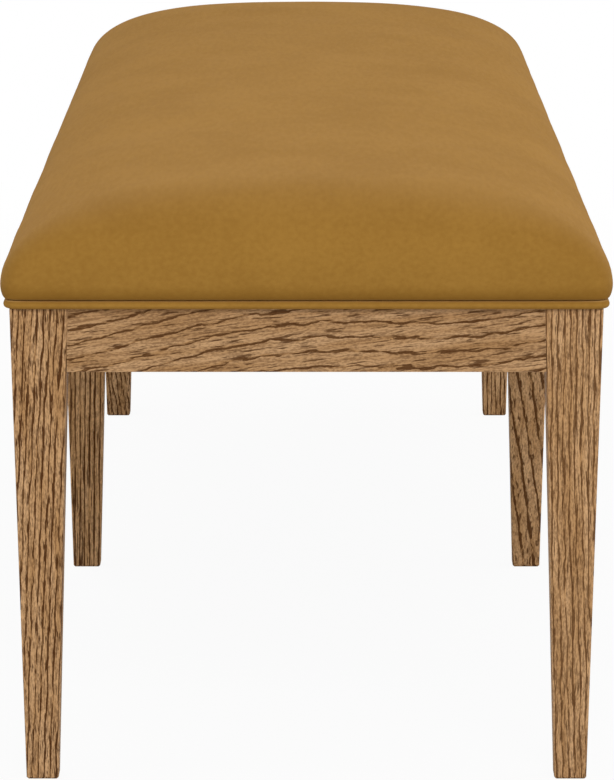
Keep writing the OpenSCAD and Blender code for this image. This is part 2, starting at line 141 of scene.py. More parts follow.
# %% Helpers for shader nodes
def linear(red, green, blue):
    """Colour as read off a screen, from 0 to 255, in the linear values that shaders use."""
    shares = [value / 255 for value in (red, green, blue)]
    return (*(s / 12.92 if s < 0.04045 else ((s + 0.055) / 1.055) ** 2.4 for s in shares), 1)


def brighten(colour, share):
    """The same colour, brighter or darker by a share."""
    return [share * part for part in colour[:3]] + [1]


def feed(tree, node, inputs):
    """Links inputs that are sockets, sets any others, and returns the node's outputs."""
    for label, value in inputs.items():
        if isinstance(value, bpy.types.NodeSocket):
            tree.links.new(value, node.inputs[label])
        else:
            node.inputs[label].default_value = value
    return node.outputs


def add(tree, kind, inputs=None, **settings):
    """Adds a shader node with its settings and inputs, and returns its outputs."""
    made = tree.nodes.new("ShaderNode" + kind)
    for label, value in settings.items():
        setattr(made, label, value)
    return feed(tree, made, inputs or {})


def calculate(tree, operation, *values):
    """One step of arithmetic on sockets and numbers."""
    return add(tree, "Math", dict(enumerate(values)), operation=operation)[0]


def calculate_vector(tree, operation, *values):
    """One step of arithmetic on vectors. Its outputs are Vector and Value."""
    return add(tree, "VectorMath", dict(enumerate(values)), operation=operation)


def up_part(tree, vector):
    """The third part of a vector."""
    return add(tree, "SeparateXYZ", {0: vector})["Z"]


def ease(tree, value, low, high):
    """0 below low and 1 above high, with a smooth rise between. It falls if low is above high."""
    inputs = {"Value": value, "From Min": low, "From Max": high}
    return add(tree, "MapRange", inputs, interpolation_type="SMOOTHSTEP")[0]


def blend(tree, factor, first, second):
    """Mixes two colours."""
    return add(tree, "Mix", {0: factor, 6: first, 7: second}, data_type="RGBA")[2]


def cloud(tree, vector, stretch, seed=0.0, detail=2.0):
    """Noise in a space stretched by three factors, in lumps per metre."""
    scaled = calculate_vector(tree, "MULTIPLY", vector, stretch)[0]
    inputs = {"Vector": scaled, "W": seed, "Scale": 1.0, "Detail": detail}
    return add(tree, "TexNoise", inputs, noise_dimensions="4D")[0]


print(f"a screen's middle grey is {linear(128, 128, 128)[0]:.2f} in linear light")

# %% Helpers for groups and materials
def open_group(name, inputs, outputs):
    """Starts a node group. Sockets are given as name: kind, and its first node feeds the rest."""
    tree = bpy.data.node_groups.new(name, "ShaderNodeTree")
    for direction, sockets in (("INPUT", inputs), ("OUTPUT", outputs)):
        for label, kind in sockets.items():
            tree.interface.new_socket(label, in_out=direction, socket_type="NodeSocket" + kind)
    return tree, tree.nodes.new("NodeGroupInput").outputs


def close_group(tree, results):
    """Ends a node group by linking what it puts out."""
    feed(tree, tree.nodes.new("NodeGroupOutput"), results)
    print("node group:", tree.name, "->", ", ".join(results))


def place(tree, name, inputs):
    """Places the node group called name, with the inputs given, and returns its outputs."""
    made = tree.nodes.new("ShaderNodeGroup")
    made.node_tree = bpy.data.node_groups[name]
    return feed(tree, made, inputs)


def new_material(name, constants):
    """A material with one Principled shader, and the constants set on its own sockets."""
    material = bpy.data.materials.new(name)
    material.use_nodes = True
    tree = material.node_tree
    shader = tree.nodes["Principled BSDF"]
    feed(tree, shader, constants)
    place_in_frame = add(tree, "TexCoord")["Object"]
    return material, tree, shader, place_in_frame


def paint(tree, shader, factor, first, second):
    """Gives a shader the mix of two colours."""
    feed(tree, shader, {"Base Color": blend(tree, factor, first, second)})


def bump(tree, shader, height, distance):
    """Raises the surface by a height from 0 to 1, where 1 stands distance metres proud."""
    feed(tree, shader, {"Normal": add(tree, "Bump", {"Height": height, "Distance": distance})[0]})

# %% [markdown]
# ## Floor, background and light
#
# The bench stands in a white studio. The light is a plain level one: an even white
# surrounding, a wide soft box overhead, one high in front and one at each side. The floor is
# a pale matt sheet. To the camera, and to reflections, it glows white with only a little of
# its own shade left, so the bench keeps its shadow on a clean background.

# %% Background and floor
SURROUND_LIGHT = 0.5
WHITE = (1, 1, 1, 1)
FLOOR_SHADE = (0.7, 0.7, 0.7, 1)
FLOOR_GLOW = 0.94
WHITE_FROM = 1.2
WHITE_BEYOND = 3.0
FLOOR_HALF = 30


def seen_directly(tree):
    """1 for rays from the camera and for those reflected or let through, and otherwise 0."""
    path = add(tree, "LightPath")
    either = calculate(tree, "MAXIMUM", path["Is Camera Ray"], path["Is Glossy Ray"])
    return calculate(tree, "MAXIMUM", either, path["Is Transmission Ray"])


world = bpy.data.worlds.new("studio")
scene.world = world
world.use_nodes = True
sky = world.node_tree
lift = calculate(sky, "MULTIPLY", seen_directly(sky), 1 - SURROUND_LIGHT)
strength = calculate(sky, "ADD", lift, SURROUND_LIGHT)
feed(sky, sky.nodes["Background"], {"Color": WHITE, "Strength": strength})

constants = {"Base Color": FLOOR_SHADE, "Roughness": 0.9}
floor_material, tree, shader, place_in_frame = new_material("floor", constants)
glow = add(tree, "Emission", {"Color": WHITE, "Strength": 1.0})[0]
away = calculate_vector(tree, "LENGTH", place_in_frame)["Value"]
whiter = calculate(tree, "MULTIPLY", ease(tree, away, WHITE_FROM, WHITE_BEYOND), 1 - FLOOR_GLOW)
glowing = calculate(tree, "ADD", whiter, FLOOR_GLOW)
share = calculate(tree, "MULTIPLY", seen_directly(tree), glowing)
sheet = add(tree, "MixShader", {0: share, 1: shader.outputs[0], 2: glow})[0]
feed(tree, tree.nodes["Material Output"], {"Surface": sheet})

floor_mesh = bpy.data.meshes.new("floor")
corners = [(x, y, 0) for x, y in ((-1, -1), (1, -1), (1, 1), (-1, 1))]
floor_mesh.from_pydata([Vector(c) * FLOOR_HALF for c in corners], [], [(0, 1, 2, 3)])
floor_mesh.materials.append(floor_material)
floor = bpy.data.objects.new("floor", floor_mesh)
scene.collection.objects.link(floor)
print("floor glow:", FLOOR_GLOW)

# %% Soft boxes
BENCH_MIDDLE = Vector((0, 0, 0.3))


def soft_box(name, at, width, height, watts):
    """A large white lamp that faces the middle of the bench and isn't seen itself."""
    data = bpy.data.lights.new(name, "AREA")
    data.shape = "RECTANGLE"
    data.size = width
    data.size_y = height
    data.energy = watts
    lamp = bpy.data.objects.new(name, data)
    lamp.location = at
    lamp.rotation_mode = "QUATERNION"
    lamp.rotation_quaternion = (Vector(at) - BENCH_MIDDLE).to_track_quat("Z", "Y")
    lamp.visible_camera = False
    scene.collection.objects.link(lamp)


soft_box("overhead", at=(-0.3, 0, 3.2), width=3.2, height=2.2, watts=23)
soft_box("front", at=(4.4, 0.7, 3.0), width=1.6, height=1.2, watts=74)
soft_box("side", at=(2.4, -3.6, 1.1), width=2.6, height=1.6, watts=20)
soft_box("far_side", at=(0.3, 4.0, 1.6), width=2.6, height=1.6, watts=34)
print("soft boxes:", ", ".join(light.name for light in bpy.data.lights))

# %% [markdown]
# ## Oak
#
# Oak is a ring-porous wood. Each spring the tree lays down wide open pores, so every growth
# ring starts with a dark, ragged band, and a board shows these bands as long broken lines.
# A photograph wrapped round the leg would show seams at its edges. Rings worked out in three
# dimensions run through the leg, as in real timber, and meet properly at each edge.

# %% Growth rings, as a node group
# Lumps per metre across the rings, through the board and along its grain
DRIFT_LUMPS = (7, 7, 2.6)
SWELL_LUMPS = (140, 140, 30)
TONE_LUMPS = (110, 110, 9)
STREAK_LUMPS = (1100, 1100, 70)
SPECK_LUMPS = (800, 800, 320)
SPRING_FROM = 0.06
SPRING_TO = 0.08
SWELL_LIMITS = (0.35, 0.6)
LEAST_SWELL = 0.35
PORE_LIMITS = (0.56, 0.65)
SPRING_TONE = 0.3

tree, given = open_group(
    "growth rings",
    {
        "Rings": "Vector", "Fibres": "Vector", "Pith": "Vector", "Seed": "Float", "Ring": "Float",
        "Drift": "Float", "Wave": "Float", "Wave Length": "Float", "Ragged": "Float",
        "Jags": "Vector", "Band": "Float", "Pores": "Vector", "Crowding": "Float",
    },
    {"Line": "Float", "Tone": "Float", "Fibre": "Float"},
)
grain = given["Rings"]
fibres = given["Fibres"]
seed = given["Seed"]

# Distance from the heart of the tree, with a slow drift, one long wave and a ragged edge
from_pith = calculate_vector(tree, "SUBTRACT", grain, given["Pith"])[0]
flat = calculate_vector(tree, "MULTIPLY", from_pith, (1, 1, 0))[0]
radius = calculate_vector(tree, "LENGTH", flat)["Value"]
drift = calculate(tree, "SUBTRACT", cloud(tree, grain, DRIFT_LUMPS, seed, 1), 0.5)
turn = calculate(tree, "MULTIPLY", up_part(tree, grain), 2 * math.pi)
turn = calculate(tree, "DIVIDE", turn, given["Wave Length"])
wave = calculate(tree, "SINE", calculate(tree, "ADD", turn, seed))
ragged = calculate(tree, "SUBTRACT", cloud(tree, fibres, given["Jags"], seed, 4), 0.5)
for move, size in ((drift, "Drift"), (wave, "Wave"), (ragged, "Ragged")):
    radius = calculate(tree, "MULTIPLY_ADD", move, given[size], radius)
phase = calculate(tree, "FRACT", calculate(tree, "DIVIDE", radius, given["Ring"]))

# Open pores crowd together at the start of a ring, and thin out towards its end
start = ease(tree, phase, 0.0, SPRING_FROM)
end = ease(tree, phase, given["Band"], SPRING_TO)
spring = calculate(tree, "MULTIPLY", start, end)
swell = ease(tree, cloud(tree, fibres, SWELL_LUMPS, seed, 2), *SWELL_LIMITS)
swell = calculate(tree, "MULTIPLY_ADD", swell, 1 - LEAST_SWELL, LEAST_SWELL)
room = calculate(tree, "MULTIPLY", calculate(tree, "MULTIPLY", spring, swell), given["Crowding"])
crowded = calculate(tree, "ADD", room, cloud(tree, fibres, given["Pores"], seed, 4))
tone = cloud(tree, fibres, TONE_LUMPS, seed, 4)
streak = cloud(tree, fibres, STREAK_LUMPS, seed, 3)
speck = cloud(tree, fibres, SPECK_LUMPS, seed, 2)
close_group(tree, {
    "Line": ease(tree, crowded, *PORE_LIMITS),
    "Tone": calculate(tree, "MULTIPLY_ADD", spring, SPRING_TONE, tone),
    "Fibre": calculate(tree, "MULTIPLY", calculate(tree, "ADD", streak, speck), 0.5),
})

# %% Paler edges, as a node group
EDGE_PATCH_LUMPS = (55, 55, 55)
EDGE_PATCH_LIMITS = (0.3, 0.62)
# How far the rounded normal leans from the flat one, as the cosine of their angle
EDGE_LIMITS = (0.995, 0.8)

tree, given = open_group("pale edges", {"Vector": "Vector", "Width": "Float"}, {"Mask": "Float"})
rounded = add(tree, "Bevel", {"Radius": given["Width"]}, samples=4)[0]
true_normal = add(tree, "NewGeometry")["True Normal"]
facing = calculate_vector(tree, "DOT_PRODUCT", rounded, true_normal)["Value"]
edge = ease(tree, facing, *EDGE_LIMITS)
patchy = ease(tree, cloud(tree, given["Vector"], EDGE_PATCH_LUMPS, 0.0, 3), *EDGE_PATCH_LIMITS)
close_group(tree, {"Mask": calculate(tree, "MULTIPLY", edge, patchy)})

# %% [markdown]
# The maker cuts each piece from a different board, so no two may show the same lines. The
# material is therefore a function: it takes the direction of the grain, where the heart of
# the tree lay, and how wide the rings are, and gives one material for one piece.

# %% Oak for one piece
OAK_LIGHT = linear(217, 173, 126)
OAK_WARM = linear(187, 142, 94)
OAK_PORE = linear(70, 34, 3)
OAK_EDGE = linear(196, 170, 142)
TONE_LIMITS = (0.3, 0.7)
FIBRE_LIMITS = (0.42, 0.6)
FIBRE_SHADE = 0.5
FIBRE_SINK = 0.2
PORE_SINK = 0.3 * MM
PALE_EDGE_WIDTH = 1.2 * MM
PALE_EDGE_SHARE = 0.35
SATIN = 0.55
PORE_DULLNESS = 0.2

# Which of the frame's axes run across the rings, through the board and along its grain
GRAIN_AXES = {"X": ("Z", "Y", "X"), "Y": ("Z", "X", "Y"), "Z": ("X", "Y", "Z")}


def wood_space(tree, place_in_frame, along, slope):
    """Coordinates of a board: across the rings, through its thickness and along its grain."""
    axes = add(tree, "SeparateXYZ", {0: place_in_frame})
    order = dict(enumerate(axes[name] for name in GRAIN_AXES[along]))
    board = add(tree, "CombineXYZ", order)[0]
    return add(tree, "Mapping", {"Vector": board, "Rotation": (0, slope, 0)})[0]


def growth(tree, place_in_frame, along, slope, fibre_slope, values):
    """Places the growth rings on a board whose rings and fibres have those slopes."""
    rings = wood_space(tree, place_in_frame, along, slope)
    fibres = wood_space(tree, place_in_frame, along, fibre_slope)
    return place(tree, "growth rings", {"Rings": rings, "Fibres": fibres, **values})


def oak(name, along, pith, seed, slope=0.0, fibre_slope=0.0, depth=0.9, shade=1.0, **figure):
    """Satin oak with open pores."""
    material, tree, shader, place_in_frame = new_material(name, {"Specular IOR Level": 0.08})
    values = {"Pith": pith, "Seed": seed, **figure}
    rings = growth(tree, place_in_frame, along, slope, fibre_slope, values)
    light, warm = (brighten(colour, shade) for colour in (OAK_LIGHT, OAK_WARM))
    ground = blend(tree, ease(tree, rings["Tone"], *TONE_LIMITS), light, warm)
    fibre = ease(tree, rings["Fibre"], *FIBRE_LIMITS)
    ground = blend(tree, calculate(tree, "MULTIPLY", fibre, FIBRE_SHADE), ground, OAK_PORE)
    grained = blend(tree, calculate(tree, "MULTIPLY", rings["Line"], depth), ground, OAK_PORE)
    # The oak turns paler along its edges, in patches
    pale_edge = place(tree, "pale edges", {"Vector": place_in_frame, "Width": PALE_EDGE_WIDTH})["Mask"]
    paint(tree, shader, calculate(tree, "MULTIPLY", pale_edge, PALE_EDGE_SHARE), grained, OAK_EDGE)
    dull = calculate(tree, "MULTIPLY_ADD", rings["Line"], PORE_DULLNESS, SATIN)
    feed(tree, shader, {"Roughness": dull})
    smooth = calculate(tree, "SUBTRACT", 1.0, rings["Line"])
    bump(tree, shader, calculate(tree, "MULTIPLY_ADD", fibre, -FIBRE_SINK, smooth), PORE_SINK)
    return material

# %% [markdown]
# A plane and sandpaper never leave a mathematically sharp edge. A small bevel on every
# timber edge catches the light there. It is a modifier, so the fixed solid stays as it is:
# first the mesh's doubled points are welded, then its edges are rounded.

# %% Rounded edges and a finish for a fixed solid
WELDED_WITHIN = 0.01 * MM
SHARP_FROM = math.radians(25)
LEG_EDGE = 0.4 * MM
RAIL_EDGE = 0.6 * MM
BLOCK_EDGE = 0.5 * MM
DECK_EDGE = 0.4 * MM
SCREW_EDGE = 0.2 * MM
STAPLE_EDGE = 0.08 * MM


def dress(node, material, edge):
    """Gives a fixed solid its material, and rounds its sharp edges by edge metres."""
    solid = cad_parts[node]
    if not solid.material_slots:
        solid.data.materials.append(material)
    for place_for in solid.material_slots:
        place_for.material = material
    weld = solid.modifiers.new("weld", "WELD")
    weld.merge_threshold = WELDED_WITHIN
    rounding = solid.modifiers.new("rounding", "BEVEL")
    rounding.width = edge
    rounding.segments = 2
    rounding.limit_method = "ANGLE"
    rounding.angle_limit = SHARP_FROM
    rounding.harden_normals = True

# %% Oak for the legs
ROWS = {"rear": 1, "front": -1}
COLUMNS = ("left", "middle", "right")
# How far along the bench, and inwards, the heart of the tree lay from a leg's middle
LEG_PITH = (60 * MM, 150 * MM)
SEED_STEP = 1.7
PLAIN = {
    "Ring": 4.1 * MM, "Band": 0.42, "Drift": 9 * MM, "Ragged": 5.5 * MM, "Jags": (180, 180, 30),
    "Wave Length": 0.36, "Pores": (1100, 1100, 48), "Crowding": 0.31,
}
BOARDS = {
    "leg_front_right": {
        "slope": math.radians(3), "fibre_slope": math.radians(3), "Pores": (1050, 1050, 32),
        "Ragged": 4.5 * MM, "Crowding": 0.35,
    },
    "leg_rear_right": {"depth": 0.72, "Pores": (1050, 1050, 65)},
    # This leg stands in the seat's shade, so its board is painted lighter, as painted light
    "leg_front_middle": {
        "Ragged": 3 * MM, "Drift": 5 * MM, "Pores": (900, 900, 30), "Crowding": 0.35,
        "Band": 0.44, "shade": 1.24,
    },
    "leg_rear_middle": {
        "slope": math.radians(12), "fibre_slope": math.radians(12), "Ring": 9 * MM, "Band": 0.36,
        "Ragged": 4 * MM, "Pores": (520, 520, 30), "Crowding": 0.34, "depth": 0.84,
    },
    "leg_front_left": {"slope": math.radians(-16), "fibre_slope": math.radians(-10)},
}

board_seed = 0.0
for row, row_side in ROWS.items():
    for column in COLUMNS:
        board_seed += SEED_STEP
        node = f"leg_{row}_{column}"
        middle = sum(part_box(node), Vector()) / 2
        pith = (middle.x - LEG_PITH[0], middle.y - row_side * LEG_PITH[1], 0)
        board = {**PLAIN, **BOARDS.get(node, {})}
        dress(node, oak("oak_" + node, "Z", pith, board_seed, **board), LEG_EDGE)
print("leg boards with lines of their own:", len(BOARDS))

# %% Oak for the aprons and the cross rail
ENDS = ("left", "right")
# How far below the frame's top, and to the side of the piece, the heart of the tree lay
END_PITH = (210 * MM, 90 * MM)
SIDE_PITH = (150 * MM, 60 * MM)
RAIL_PITH = (120 * MM, 70 * MM)
END_BOARD = {
    **PLAIN, "Ring": 9.5 * MM, "Band": 0.25, "Drift": 12 * MM, "Wave": 7 * MM, "Ragged": 8 * MM,
    "Jags": (140, 140, 60), "Pores": (600, 600, 55), "Crowding": 0.24, "depth": 0.8,
    "shade": 0.87, "slope": math.radians(-8), "fibre_slope": math.radians(-7),
}
SIDE_BOARD = {
    **PLAIN, "Ring": 8 * MM, "Band": 0.3, "Drift": 18 * MM, "Wave": 4 * MM, "Wave Length": 0.5,
    "Pores": (650, 650, 60), "Crowding": 0.28, "shade": 0.87, "slope": math.radians(1.5),
}

for column in ENDS:
    board_seed += SEED_STEP
    node = "end_apron_" + column
    pith = (frame_high.z - END_PITH[0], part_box(node)[0].x - END_PITH[1], 0)
    dress(node, oak("oak_" + node, "Y", pith, board_seed, **END_BOARD), RAIL_EDGE)
    for row in ROWS:
        board_seed += SEED_STEP
        node = f"side_apron_{row}_{column}"
        pith = (frame_high.z - SIDE_PITH[0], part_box(node)[0].y - SIDE_PITH[1], 0)
        dress(node, oak("oak_" + node, "X", pith, board_seed, **SIDE_BOARD), RAIL_EDGE)

pith = (frame_high.z - RAIL_PITH[0], RAIL_PITH[1], 0)
rail_oak = oak("oak_cross_rail", "Y", pith, board_seed + SEED_STEP, **PLAIN)
dress("cross_rail", rail_oak, RAIL_EDGE)
print("oak pieces:", sum(1 for m in bpy.data.materials if m.name.startswith("oak_")))

# %% [markdown]
# ## Plain timber, plywood and steel
#
# What nobody sees is left plain. The corner blocks are unfinished softwood with faint rings.
# The deck is plywood: its faces show one thin peeled sheet, and its edges the stack of
# layers. Screws and staples have a thin zinc coat, dull and slightly blotched.

# %% Corner blocks
SOFTWOOD_PALE = linear(226, 197, 152)
SOFTWOOD_WARM = linear(214, 180, 132)
SOFTWOOD_LINE = linear(176, 128, 78)
SOFTWOOD_LINE_SHARE = 0.5
SAWN_ROUGHNESS = 0.15 * MM
# How far below a block's middle, and beside it, the heart of the tree lay
BLOCK_PITH = (40 * MM, 25 * MM)


def softwood(name, pith, seed):
    """Unfinished pale softwood."""
    material, tree, shader, place_in_frame = new_material(name, {"Roughness": 0.8})
    rings = growth(tree, place_in_frame, "Y", 0.0, 0.0, {
        "Pith": pith, "Ring": 3.5 * MM, "Band": 0.42, "Drift": 5 * MM, "Ragged": 1.2 * MM,
        "Jags": (140, 140, 35), "Wave Length": 1.0, "Pores": (900, 900, 40), "Crowding": 0.28,
        "Seed": seed,
    })
    ground = blend(tree, rings["Tone"], SOFTWOOD_PALE, SOFTWOOD_WARM)
    line = calculate(tree, "MULTIPLY", rings["Line"], SOFTWOOD_LINE_SHARE)
    paint(tree, shader, line, ground, SOFTWOOD_LINE)
    bump(tree, shader, rings["Fibre"], SAWN_ROUGHNESS)
    return material


for row in ROWS:
    for column in ENDS:
        board_seed += SEED_STEP
        node = f"corner_block_{row}_{column}"
        middle = sum(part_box(node), Vector()) / 2
        pith = (middle.z - BLOCK_PITH[0], middle.x + BLOCK_PITH[1], 0)
        dress(node, softwood("softwood_" + node, pith, board_seed), BLOCK_EDGE)
print("softwood pieces:", len(ROWS) * len(ENDS))

# %% Plywood deck
PLIES = 9
PLY_FACE = linear(224, 194, 148)
PLY_FACE_LINE = linear(188, 147, 98)
PLY_LENGTHWISE = linear(214, 180, 131)
PLY_CROSSWISE = linear(158, 116, 74)
PLY_LINE_SHARE = 0.4
PLY_EDGE_LIMITS = (0.7, 0.3)
PEELED_ROUGHNESS = 0.12 * MM

material, tree, shader, place_in_frame = new_material("plywood", {"Roughness": 0.75})
peeled = growth(tree, place_in_frame, "X", 0.0, 0.0, {
    "Pith": (0.2, 0.1, 0), "Ring": 14 * MM, "Band": 0.42, "Drift": 60 * MM, "Ragged": 6 * MM,
    "Jags": (60, 60, 12), "Wave Length": 1.0, "Pores": (900, 900, 40), "Crowding": 0.28,
    "Seed": 40.0,
})
above_base = calculate(tree, "SUBTRACT", up_part(tree, place_in_frame), deck_low.z)
layer = calculate(tree, "MULTIPLY", above_base, PLIES / (deck_high.z - deck_low.z))
crosswise = calculate(tree, "GREATER_THAN", calculate(tree, "MODULO", layer, 2.0), 1.0)
facing_up = up_part(tree, add(tree, "NewGeometry")["Normal"])
on_edge = ease(tree, calculate(tree, "ABSOLUTE", facing_up), *PLY_EDGE_LIMITS)
line = calculate(tree, "MULTIPLY", peeled["Line"], PLY_LINE_SHARE)
face = blend(tree, line, PLY_FACE, PLY_FACE_LINE)
sides = blend(tree, crosswise, PLY_LENGTHWISE, PLY_CROSSWISE)
paint(tree, shader, on_edge, face, sides)
bump(tree, shader, peeled["Fibre"], PEELED_ROUGHNESS)
dress("seat_deck", material, DECK_EDGE)
print("plies in the deck:", PLIES)

# %% Zinc-plated screws and staples
ZINC_BRIGHT = linear(206, 208, 208)
ZINC_DULL = linear(158, 162, 168)
BLOTCHES = (240, 240, 240)
CRYSTALS = (1500, 1500, 1500)
CRYSTAL_HEIGHT = 0.03 * MM

material, tree, shader, place_in_frame = new_material("zinc", {"Metallic": 1.0})
blotch = cloud(tree, place_in_frame, BLOTCHES, 3.0, 4)
paint(tree, shader, blotch, ZINC_BRIGHT, ZINC_DULL)
feed(tree, shader, {"Roughness": calculate(tree, "MULTIPLY_ADD", blotch, 0.3, 0.22)})
bump(tree, shader, cloud(tree, place_in_frame, CRYSTALS, 5.0, 2), CRYSTAL_HEIGHT)
for node in ("corner_block_screws", "seat_screws"):
    dress(node, material, SCREW_EDGE)
for node in ("cover_staples", "dust_cover_staples"):
    dress(node, material, STAPLE_EDGE)
print("solids with a finish:", sum(1 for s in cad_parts.values() if "rounding" in s.modifiers))

# %% [markdown]
# ## The shape of the seat
#
# A stuffed seat is a stack of closed outlines. Level with the deck the outline is nearly the
# frame's rectangle. Higher up it shrinks and softens, and at the top it becomes a line along
# the middle. One rule for such a ring, a superellipse stretched along the bench, gives them
# all, and every soft layer is the same shape a few millimetres further in.

# %% Rings of the seat
def ring(spine, reach, square, z, slack=0.0):
    """Outline reach metres to every side of a spine, drawn in by slack at its far end."""
    return {"spine": spine, "reach": reach, "square": square, "z": z, "slack": slack}


def squareness(radius, half):
    """Exponent whose corner cuts in as far as that radius does on that half width."""
    return -math.log(2) / math.log(1 - (1 - math.sqrt(0.5)) * radius / half)


def edge_ring(out, radius, z, slack=0.0):
    """Outline that lies out metres outside the frame's faces, with corners of that radius."""
    reach = half_width + out
    return ring(half_length - half_width, reach, squareness(radius, reach), z, slack)


def crown_ring(out, rise, angle):
    """Outline on a crown of that swell and rise, at an angle up its section."""
    inward = math.cos(angle) ** (2 / CROWN_FLATNESS)
    upward = math.sin(angle) ** (2 / CROWN_SHOULDER)
    base = squareness(BULGE_CORNER, half_width + bulge_out)
    reach = inward * (half_width + out)
    end = half_length - CROWN_RUN + inward * (CROWN_RUN + out)
    square = base + (TOP_SQUARENESS - base) * math.sin(angle)
    return ring(end - reach, reach, square, bulge_z + rise * upward, FAR_SLACK)


def tuck_ring(share, inset=0.0):
    """Outline between the widest line, at share 0, and the groove above the welt, at share 1."""
    angle = share * math.pi / 2
    out = GROOVE_OUT + (bulge_out - GROOVE_OUT) * math.cos(angle)
    groove_corner = WELT_CORNER + GROOVE_OUT
    corner = groove_corner + (BULGE_CORNER - groove_corner) * math.cos(angle)
    z = bulge_z - (bulge_z - groove_z) * math.sin(angle)
    return edge_ring(out - inset, corner - inset, z, FAR_SLACK * math.cos(angle))


print(f"widest outline: squareness {squareness(BULGE_CORNER, half_width + bulge_out):.1f}")

# %% Rings evenly spaced up the crown
SECTION_SAMPLES = 400


def crown_levels(out, rise, count):
    """Rings from the widest line to the spine, evenly spaced along the crown's section."""
    angles = np.linspace(0, math.pi / 2, SECTION_SAMPLES)
    side = half_width + out
    reach = side * np.cos(angles) ** (2 / CROWN_FLATNESS)
    height = rise * np.sin(angles) ** (2 / CROWN_SHOULDER)
    steps = np.hypot(np.diff(reach), np.diff(height))
    run = np.concatenate([[0], np.cumsum(steps)])
    even = np.interp(np.linspace(0, run[-1], count + 1), run, angles)
    levels = [crown_ring(out, rise, angle) for angle in even[:-1]]
    return levels + [ring(half_length - CROWN_RUN, 0.0, TOP_SQUARENESS, bulge_z + rise)]


print(f"the cover's crown rises {cover_high.z - bulge_z:.3f} m")

# %% [markdown]
# The mesh over these rings follows the cloth: a rectangular grid, whose nested rectangles
# lie on the rings, with side walls hanging from its rim. Such a grid has no pole on top of
# the seat, folds evenly over the corners, and gives the cloth solver square cells. Cells are
# closest together near the corners, where the seat bends most.

# %% Places of a grid laid over rings
CORNER_CROWDING = 0.55


def crowd(share):
    """Moves a place between -1 and 1 towards the nearer end."""
    return (1 - CORNER_CROWDING) * share + CORNER_CROWDING * math.sin(share * math.pi / 2)


def opposite(reach, along, square):
    """Distance to the side of a superellipse at a distance along it."""
    return reach * max(0.0, 1 - min(1.0, along / reach) ** square) ** (1 / square) if reach else 0.0


def ring_point(outline, i, j, level, cells):
    """Place of grid point (i, j) on the ring that its nested rectangle lies on."""
    spine, reach, square = (outline[key] for key in ("spine", "reach", "square"))
    corner = reach * 0.5 ** (1 / square)
    if level in (j, cells[1] - j):
        x = (spine + corner) * crowd(2 * (i - level) / (cells[0] - 2 * level) - 1)
        y = opposite(reach, max(0.0, abs(x) - spine), square)
        y = -y if j < cells[1] / 2 else y
    else:
        y = corner * crowd(2 * (j - level) / (cells[1] - 2 * level) - 1)
        x = spine + opposite(reach, abs(y), square)
        x = -x if i < cells[0] / 2 else x
    drawn_in = outline["slack"] * (half_length - x) / (2 * half_length)
    return x, y * (1 - drawn_in / half_width), outline["z"]


def sheet_points(rings, cells):
    """Points of a whole grid, where rings[0] carries its rim and rings[-1] is the spine."""
    points = []
    for i in range(cells[0] + 1):
        for j in range(cells[1] + 1):
            level = min(i, j, cells[0] - i, cells[1] - j)
            points.append(ring_point(rings[level], i, j, level, cells))
    return points


print(f"a point halfway out stands at {crowd(0.5):.2f} of the way")

# %% Faces and rim of a grid
def spot(i, j, cells):
    """Number of grid point (i, j)."""
    return i * (cells[1] + 1) + j


def grid_faces(cells):
    """Faces of a whole grid."""
    return [
        tuple(spot(i + a, j + b, cells) for a, b in ((0, 0), (1, 0), (1, 1), (0, 1)))
        for i in range(cells[0]) for j in range(cells[1])
    ]


def rim(cells):
    """Grid places round the rim, in order."""
    long, wide = cells
    near = [(i, 0) for i in range(long)]
    right = [(long, j) for j in range(wide)]
    far = [(i, wide) for i in range(long, 0, -1)]
    left = [(0, j) for j in range(wide, 0, -1)]
    return near + right + far + left


print("places round the rim of 3 by 2 cells:", len(rim((3, 2))))

# %% Meshes of soft pieces
def hang(points, faces, cells, rows):
    """Adds closed rows of points below a grid's rim, with faces between, and returns the last."""
    last = [spot(i, j, cells) for i, j in rim(cells)]
    for row_points in rows:
        row = list(range(len(points), len(points) + len(last)))
        points += row_points
        around = zip(last, last[1:] + last[:1], row, row[1:] + row[:1])
        faces += [(a, c, d, b) for a, b, c, d in around]
        last = row
    return last


def new_mesh(name, points, faces):
    """Object from points and faces, without points that no face uses."""
    used = sorted({v for face in faces for v in face})
    number = {v: k for k, v in enumerate(used)}
    mesh = bpy.data.meshes.new(name)
    mesh.from_pydata([points[v] for v in used], [], [[number[v] for v in face] for face in faces])
    mesh.polygons.foreach_set("use_smooth", [True] * len(mesh.polygons))
    mesh.update()
    made = bpy.data.objects.new(name, mesh)
    scene.collection.objects.link(made)
    print(name, "mesh:", len(faces), "faces")
    return made


def seat_mesh(name, top, walls, base, cells):
    """Mesh over the rings of the top, down the rings of the walls and under the base, if any."""
    points = sheet_points(top, cells)
    grid = grid_faces(cells)
    faces = list(grid)
    rows = [[ring_point(outline, i, j, 0, cells) for i, j in rim(cells)] for outline in walls]
    last = hang(points, faces, cells, rows)
    if base:
        start = len(points)
        points += sheet_points(base, cells)
        faces += [tuple(start + v for v in reversed(face)) for face in grid]
        joined = {start + spot(i, j, cells): v for (i, j), v in zip(rim(cells), last)}
        faces = [tuple(joined.get(v, v) for v in face) for face in faces]
    return new_mesh(name, points, faces)

# %% [markdown]
# ## Velvet
#
# Velvet is a cloth with a short upright pile. Looked at straight on, the eye sees down
# between the fibres and the colour is deep. At a shallow angle the fibre tips catch the
# light, and the colour turns paler and pinker. The shader's sheen could do the tips, but it
# lights up every rim. So the sheen is faint, and the tips are a painted sheen instead: the
# colour itself shifts with the viewing angle. A little aslant the colour is painted darker,
# as painted shade. In the seam it is painted lighter, as painted light. Small brushed
# patches break up the even surface.

# %% Nap and weave, as a node group
# Lumps per metre along the bench, across it and upwards, and the detail in them
NAP_CLOUDS = {
    "Patch": ((7, 11, 11), 3),
    "Streak": ((40, 230, 300), 3),
    "Pile": ((1300, 1300, 1300), 2),
}

